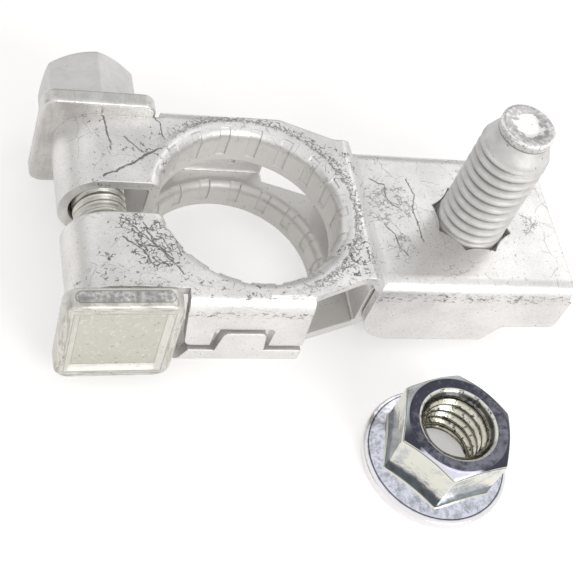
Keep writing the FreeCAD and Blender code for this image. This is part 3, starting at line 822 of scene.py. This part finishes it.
# ---------------------------------------------------------------- pieces


@dataclass
class ClampBody:
    """The folded sheet body, as the frame gives it."""

    node: str = "clamp_body"

    def dress(self) -> None:
        """Gives the sheet its tin finish."""
        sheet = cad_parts[self.node]
        sheet.material_slots[0].material = TinSheet().build()
        log.info("%s: CAD node with its tin finish", self.node)


@dataclass
class ClampBolt:
    """The square-headed bolt across the ears, with a rolled thread."""

    x: float = BOLT_X
    z: float = BOLT_Z
    head_offset: float = 0.45
    head_turned: float = BOLT_HEAD_TURNED
    back_y: float = -12.8
    face_y: float = -15.35
    end_y: float = 22.9
    radius: float = 3.0
    pitch: float = 1.0
    thread_y: float = -9.5
    thread_depth: float = 0.42
    end_chamfer: float = 0.6
    boss_radius: float = 5.0
    boss_y: float = -11.7
    half_width: float = 6.25
    half_height: float = 6.7
    corner: float = 1.8
    edge: float = 0.5
    panel_half_width: float = 4.5
    panel_half_height: float = 4.7
    panel_depth: float = 0.6
    panel_slope: float = 0.7

    def head(self) -> np.ndarray:
        """The head: rounded rectangles carried from its back, round its edge and rim, into the sunk panel."""
        turn = np.linspace(0.0, 0.5 * math.pi, 6)
        thick = self.back_y - self.face_y
        back_in, back_up = self.edge * 0.5 * (1 - np.sin(turn)), self.edge * 0.5 * (1 - np.cos(turn))
        face_in, face_up = self.edge * (1 - np.cos(turn)), thick - self.edge * (1 - np.sin(turn))
        flat = self.panel_half_width + self.panel_slope
        tall = self.panel_half_height + self.panel_slope
        share = np.linspace(0.0, 1.0, 5)
        wide = np.concatenate([
            self.half_width * np.array([0.0, 0.4, 0.8]), self.half_width - back_in, self.half_width - face_in,
            [flat + 0.12, flat, flat - 0.12], [self.panel_half_width + 0.1, self.panel_half_width - 0.1],
            self.panel_half_width * (1 - share) * 0.95])
        high = np.concatenate([
            self.half_height * np.array([0.0, 0.4, 0.8]), self.half_height - back_in,
            self.half_height - face_in, [tall + 0.12, tall, tall - 0.12],
            [self.panel_half_height + 0.1, self.panel_half_height - 0.1],
            self.panel_half_height * (1 - share) * 0.95])
        floor = thick - self.panel_depth
        up = np.concatenate([[0.0, 0.0, 0.0], back_up, face_up, [thick, thick - 0.03, thick - 0.12],
                             [floor + 0.08, floor], floor + 0.0 * share])
        corner = np.concatenate([
            self.corner * np.array([0.0, 0.4, 0.8]), self.corner - back_in, self.corner - face_in,
            [0.75, 0.7, 0.6], [0.3, 0.25], 0.25 * (1 - share)])
        section = rounded_rectangles(wide, high, corner)
        depth = (self.back_y - up)[:, None] + 0.0 * section[..., 0]
        turn = math.radians(self.head_turned)
        across = section[..., 0] * math.cos(turn) + section[..., 1] * math.sin(turn)
        upward = section[..., 1] * math.cos(turn) - section[..., 0] * math.sin(turn)
        return np.stack([self.x + self.head_offset + across, depth, self.z + upward], axis=-1)

    def shank(self) -> np.ndarray:
        """The boss and the shank, turned round the bolt's line, with the thread cut into the shank."""
        profile = rounded_profile([
            (0.0, self.back_y - 0.3, 0.0), (self.boss_radius, self.back_y - 0.3, 0.0),
            (self.boss_radius, self.boss_y, 0.2), (self.radius, self.boss_y, 0.1),
            (self.radius, self.end_y - self.end_chamfer, 0.15),
            (self.radius - self.end_chamfer, self.end_y, 0.12), (0.0, self.end_y, 0.0)], 0.085)
        ends = self.thread_y, self.end_y + 0.2
        grid = cut_thread(revolve(profile, 72), self.thread_depth, self.pitch, ends, 2.6,
                          self.radius - self.end_chamfer - 0.01, self.radius + 0.01)
        return lay(grid, Lay.ACROSS, (self.x, 0.0, self.z))

    def build(self, finish: bpy.types.Material) -> bpy.types.Object:
        """The whole bolt."""
        piece = make_piece("square_head_bolt", [self.head(), self.shank()], 24.0)
        return finish_piece(piece, finish, "clamp", "clamp_bolt")


@dataclass
class HexNut:
    """A hexagon nut with rounded corners and a threaded bore, with or without a flange at its foot."""

    name: str
    node: str
    body: str
    slot: Slot
    way: Lay
    place: Point
    turned: float
    across_flats: float
    height: float
    bore: float
    thread_root: float
    pitch: float
    countersink: float
    crown_radius: float
    chamfer_slope: float
    flange_radius: float = 0.0
    flange_rim: float = 0.0
    flange_slope: float = 0.0
    corner_softness: float = 0.07

    def angles(self) -> np.ndarray:
        """Angles round the nut, s - 0.8 sin(6 s) / 6, which crowd together at the hexagon's corners."""
        s = np.linspace(0.0, 2 * math.pi, 24 * HEXAGON, endpoint=False)
        return s - 0.8 * np.sin(HEXAGON * s) / HEXAGON

    def flank(self, angle: np.ndarray) -> np.ndarray:
        """The hexagon's reach at an angle: a soft least of the six flats, -k ln(sum of e^(-reach / k))."""
        k = self.corner_softness
        normals = (np.arange(HEXAGON) + 0.5) * 2 * math.pi / HEXAGON
        facing = np.cos(angle[None, :] - normals[:, None])
        reach = np.where(facing > 0.2, 0.5 * self.across_flats / np.maximum(facing, 0.2), 99.0)
        return -k * np.log(np.exp(-reach / k).sum(axis=0))

    def keys(self, flank: np.ndarray) -> list[tuple[np.ndarray, np.ndarray, int]]:
        """Corners of the nut's section at each angle: radius, height, and points on the run up to it."""
        ones = np.ones_like(flank)
        rise = math.tan(math.radians(self.chamfer_slope))
        sink = self.countersink - self.bore
        if self.flange_radius:
            slope = math.tan(math.radians(self.flange_slope))
            foot = self.flange_rim + (self.flange_radius - flank) * slope
            low = [(self.flange_radius * ones, 0.0 * ones, 16),
                   (self.flange_radius * ones, self.flange_rim * ones, 7), (flank, foot, 12)]
        else:
            low_crown = 0.5 * self.across_flats
            low = [(low_crown * ones, 0.0 * ones, 6), (flank, np.maximum(flank - low_crown, 0.0) * rise, 4)]
        top_edge = self.height - np.maximum(flank - self.crown_radius, 0.0) * rise
        return [(self.countersink * ones, 0.0 * ones, 0), *low, (flank, top_edge, 24),
                (self.crown_radius * ones, self.height * ones, 8),
                (self.countersink * ones, self.height * ones, 8),
                (self.bore * ones, (self.height - sink) * ones, 8), (self.bore * ones, sink * ones, 72),
                (self.countersink * ones, 0.0 * ones, 8)]

    def grid(self) -> np.ndarray:
        """The nut's surface: its section's runs, softened by a moving mean, with the thread in its bore."""
        angle = self.angles()
        keys = self.keys(self.flank(angle))
        radius, height = [keys[0][0][None, :]], [keys[0][1][None, :]]
        for before, after in zip(keys[:-1], keys[1:]):
            share = np.linspace(0.0, 1.0, after[2] + 1)[1:, None]
            radius.append(before[0] * (1 - share) + after[0] * share)
            height.append(before[1] * (1 - share) + after[1] * share)
        r, z = np.concatenate(radius), np.concatenate(height)
        for _ in range(2):
            r[1:-1], z[1:-1] = (v[:-2] * 0.25 + v[1:-1] * 0.5 + v[2:] * 0.25 for v in (r, z))
        ends = (self.countersink - self.bore) * 0.2, self.height - (self.countersink - self.bore) * 0.2
        relief = thread_relief(z, angle[None, :] + 0.0 * z, self.pitch, ends, 1.6)
        in_bore = smooth_step(self.thread_root + 0.05, self.thread_root - 0.05, r)
        r = r + (self.thread_root - np.minimum(r, self.thread_root)) * relief * in_bore
        return np.stack([r * np.cos(angle), r * np.sin(angle), z], axis=-1)

    def build(self, finish: bpy.types.Material) -> bpy.types.Object:
        """The nut, turned to its place."""
        turn = math.radians(self.turned)
        grid = self.grid()
        x = grid[..., 0] * math.cos(turn) - grid[..., 1] * math.sin(turn)
        y = grid[..., 0] * math.sin(turn) + grid[..., 1] * math.cos(turn)
        grid = lay(np.stack([x, y, grid[..., 2]], axis=-1), self.way, self.place)
        piece = make_piece(self.name, [grid], 60.0)
        return finish_piece(piece, finish, self.body, self.node)


@dataclass
class TerminalStud:
    """The upright stud: a square head under the block, a rolled thread and a plain nose."""

    x: float = STUD_X
    foot_z: float = 6.55
    seat_z: float = 9.75
    plate_z: float = BLOCK_Z
    half_head: float = 6.2
    head_corner: float = 2.0
    run_out_radius: float = 4.12
    collar_radius: float = 4.6
    collar_z: float = 10.95
    radius: float = 4.08
    thread_end_z: float = 25.35
    nose_z: float = NOSE_Z
    nose_radius: float = NOSE_RADIUS
    pitch: float = 1.4
    thread_depth: float = 0.66

    def head(self) -> np.ndarray:
        """The head: rounded squares carried up from its foot's middle to its top's middle."""
        size = np.array([0.0, 0.5, 0.93, 0.98, 1.0, 1.0, 0.98, 0.93, 0.5, 0.0])
        share = np.array([0.0, 0.0, 0.0, 0.04, 0.12, 0.88, 0.96, 1.0, 1.0, 1.0])
        section = rounded_rectangles(self.half_head * size, self.half_head * size, self.head_corner * size)
        z = (self.foot_z + (self.seat_z - self.foot_z) * share)[:, None] + 0.0 * section[..., 0]
        return np.stack([self.x + section[..., 0], section[..., 1], z], axis=-1)

    def shank(self) -> np.ndarray:
        """The stud above its head, turned round its line, with the thread cut into it."""
        end, top = self.thread_end_z, self.nose_z
        profile = rounded_profile([
            (0.0, self.seat_z - 0.6, 0.0), (self.collar_radius, self.seat_z - 0.6, 0.0),
            (self.collar_radius, self.collar_z, 0.1), (self.run_out_radius, self.collar_z, 0.1),
            (self.run_out_radius, self.plate_z, 0.1), (self.radius, self.plate_z + 0.25, 0.12),
            (self.radius, end, 0.12), (3.85, end + 0.15, 0.1), (3.78, end + 0.7, 0.25),
            (3.1, end + 1.6, 0.25), (2.75, end + 2.15, 0.1), (self.nose_radius, end + 2.4, 0.12),
            (self.nose_radius, top - 0.05, 0.12), (self.nose_radius - 0.35, top, 0.1),
            (2.2, top - 0.04, 0.15), (1.3, top - 0.22, 0.3), (0.0, top - 0.26, 0.0)], 0.085)
        ends = self.plate_z - 0.4, end + 0.2
        grid = cut_thread(revolve(profile, 96), self.thread_depth, self.pitch, ends, 3.0)
        return lay(grid, Lay.UPRIGHT, (self.x, 0.0, 0.0))

    def build(self, finish: bpy.types.Material) -> bpy.types.Object:
        """The whole stud."""
        piece = make_piece("cable_stud", [self.head(), self.shank()])
        return finish_piece(piece, finish, "clamp", "terminal_stud")


@dataclass
class Hardware:
    """The washer and both nuts."""

    washer: str = "clamp_washer"

    def build(self) -> None:
        """Builds both nuts and dresses the washer."""
        # the washer's edges keep the light edge colour: a painted highlight
        washer = PlatedSteel("zinc_washer", (0.70, 0.685, 0.665, 1.0), (0.58, 0.565, 0.545, 1.0), 0.30, 0.35,
                             (2.6, 1.0, 0.3), 0.1, 0.18).build()
        # the nut's dark edge colour is painted shade along its edges
        plate = PlatedSteel("zinc_nut", (0.75, 0.735, 0.73, 1.0), (0.69, 0.675, 0.67, 1.0), 0.48, 0.2,
                            (0.5, 0.8, 0.5), 0.05, 0.12, 0.5, (0.30, 0.285, 0.28, 1.0)).build()
        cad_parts[self.washer].material_slots[0].material = washer
        log.info("%s: CAD node with its zinc finish", self.washer)
        HexNut(name="ear_nut", node="clamp_nut", body="nut", slot=Slot.ZINC_PLATE, way=Lay.ACROSS,
               place=(BOLT_X, 13.72, BOLT_Z), turned=-25.0, across_flats=10.0, height=8.0, bore=3.06,
               thread_root=3.1, pitch=1.0, countersink=3.5, crown_radius=4.5, chamfer_slope=32.0).build(plate)
        zinc = BrightZinc()
        HexNut(name="stud_flange_nut", node="flange_nut", body="clamp", slot=Slot.BRIGHT_ZINC, way=Lay.UPRIGHT,
               place=zinc.middle, turned=13.3, across_flats=12.1, height=zinc.height, bore=zinc.bore,
               thread_root=zinc.thread_root, pitch=1.4, countersink=zinc.countersink,
               crown_radius=zinc.crown_radius, chamfer_slope=zinc.crown_slope, flange_radius=zinc.flange_radius,
               flange_rim=zinc.flange_rim, flange_slope=zinc.flange_slope).build(zinc.build())


# ---------------------------------------------------------------- studio


@dataclass
class Studio:
    """The floor, the lamps, the sky and the camera."""

    azimuth: float = -30.51
    elevation: float = 50.62
    roll: float = 25.83
    eye: Point = (-45.2, -91.65, 126.95)
    focal_pixels: float = 1376.36
    frame_pixels: float = 576.0
    target: Point = (0.008, 0.0, 0.008)

    def camera(self) -> None:
        """The camera, whose axes come from its azimuth, elevation and roll."""
        a, e, r = (math.radians(v) for v in (self.azimuth, self.elevation, self.roll))
        back = np.array([math.sin(a) * math.cos(e), -math.cos(a) * math.cos(e), math.sin(e)])
        level = np.array([math.cos(a), math.sin(a), 0.0])
        up = np.cross(back, level)
        right = level * math.cos(r) + up * math.sin(r)
        up = -level * math.sin(r) + up * math.cos(r)
        pose = np.eye(4)
        pose[:3, 0], pose[:3, 1], pose[:3, 2] = right, up, back
        pose[:3, 3] = np.array(self.eye) * MM
        data = bpy.data.cameras.new("camera")
        data.sensor_width = 36.0
        data.lens = data.sensor_width * self.focal_pixels / self.frame_pixels
        data.clip_start = 0.01
        camera = bpy.data.objects.new("camera", data)
        camera.matrix_world = Matrix(pose.tolist())
        bpy.context.scene.collection.objects.link(camera)
        bpy.context.scene.camera = camera

    def square(self, name: str, half: float, height: float = 0.0) -> bpy.types.Object:
        """A level square of this half width, linked to the scene."""
        mesh = bpy.data.meshes.new(name)
        corners = [(-half, -half, height), (half, -half, height), (half, half, height), (-half, half, height)]
        mesh.from_pydata(corners, [], [(0, 1, 2, 3)])
        made = bpy.data.objects.new(name, mesh)
        bpy.context.scene.collection.objects.link(made)
        return made

    def floor(self) -> None:
        """A plain pale floor that keeps the object's shadow."""
        floor = self.square("floor", FLOOR_HALF, FLOOR_Z)
        s = Shading("pale_floor")
        seen = s.seen()
        plain = s.out("BsdfDiffuse", {"Color": (0.92, 0.905, 0.895, 1.0)})
        lift = s.out("Emission", {"Color": WHITE, "Strength": seen * 0.40})
        s.node("OutputMaterial", {"Surface": s.out("AddShader", {0: plain, 1: lift})})
        floor.data.materials.append(s.owner)

    def sky(self) -> None:
        """An even sky: soft on the object, and white where it is seen or mirrored."""
        s = Shading("sky", world=True)
        strength = s.out("MapRange", {"Value": s.seen(), "To Min": 0.6, "To Max": 1.0})
        light = s.out("Background", {"Color": WHITE, "Strength": strength})
        s.node("OutputWorld", {"Surface": light})
        bpy.context.scene.world = s.owner

    def facing(self, place: Point) -> Matrix:
        """Where a lamp or card stands so that its own -z axis points at the object's middle."""
        back = np.array(place) - np.array(self.target)
        back = back / np.linalg.norm(back)
        right = np.cross((0.0, 1.0, 0.001), back)
        right = right / np.linalg.norm(right)
        pose = np.eye(4)
        pose[:3, 0], pose[:3, 1], pose[:3, 2], pose[:3, 3] = right, np.cross(back, right), back, place
        return Matrix(pose.tolist())

    def card(self, name: str, place: Point, size: float, grey: float) -> None:
        """A plain grey card that only mirrors show, to shape the reflections.

        Args:
            name: The card's name.
            place: Where it stands, in metres.
            size: Its width in metres.
            grey: How bright it looks, from 0 to 1.
        """
        card = self.square(name, 0.5 * size)
        s = Shading(name)
        s.node("OutputMaterial", {"Surface": s.out("Emission", {"Color": WHITE, "Strength": grey})})
        card.data.materials.append(s.owner)
        card.matrix_world = self.facing(place)
        card.visible_camera = card.visible_diffuse = card.visible_shadow = card.visible_transmission = False

    def lamp(self, name: str, place: Point, size: float, watts: float) -> None:
        """A square soft lamp that faces the object.

        Args:
            name: The lamp's name.
            place: Where it stands, in metres.
            size: Its width in metres.
            watts: Its power.
        """
        data = bpy.data.lights.new(name, "AREA")
        data.shape = "SQUARE"
        data.size = size
        data.energy = watts
        lamp = bpy.data.objects.new(name, data)
        lamp.matrix_world = self.facing(place)
        bpy.context.scene.collection.objects.link(lamp)

    def build(self) -> None:
        """The whole studio."""
        self.camera()
        self.floor()
        self.sky()
        self.lamp("key_lamp", (0.33, 0.26, 0.42), 0.22, 0.16)
        self.lamp("bend_lamp", (0.19, -0.44, 0.27), 0.26, 0.85)
        self.card("back_card", (0.15, 0.33, 0.46), 0.26, 0.88)
        self.card("far_card", (0.10, 0.70, 0.25), 0.60, 0.45)
        self.card("left_card", (-0.60, 0.15, 0.20), 0.45, 0.40)
        bpy.context.scene.view_settings.view_transform = "Standard"
        log.info("studio: floor, sky, lamps and camera")


def main() -> None:
    """Builds the pieces in order and dresses them."""
    logging.basicConfig(level=logging.INFO, format="%(name)s: %(message)s")
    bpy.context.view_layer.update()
    ClampBody().dress()
    ClampBolt().build(BoltHeadPlate("zinc_bolt_dull", (0.74, 0.725, 0.675, 1.0), (0.62, 0.61, 0.56, 1.0),
                                    flecks=0.25, edge_radius=0.08).build())
    Hardware().build()
    TerminalStud().build(MattStud().build())
    Studio().build()


if __name__ == "__main__":
    main()
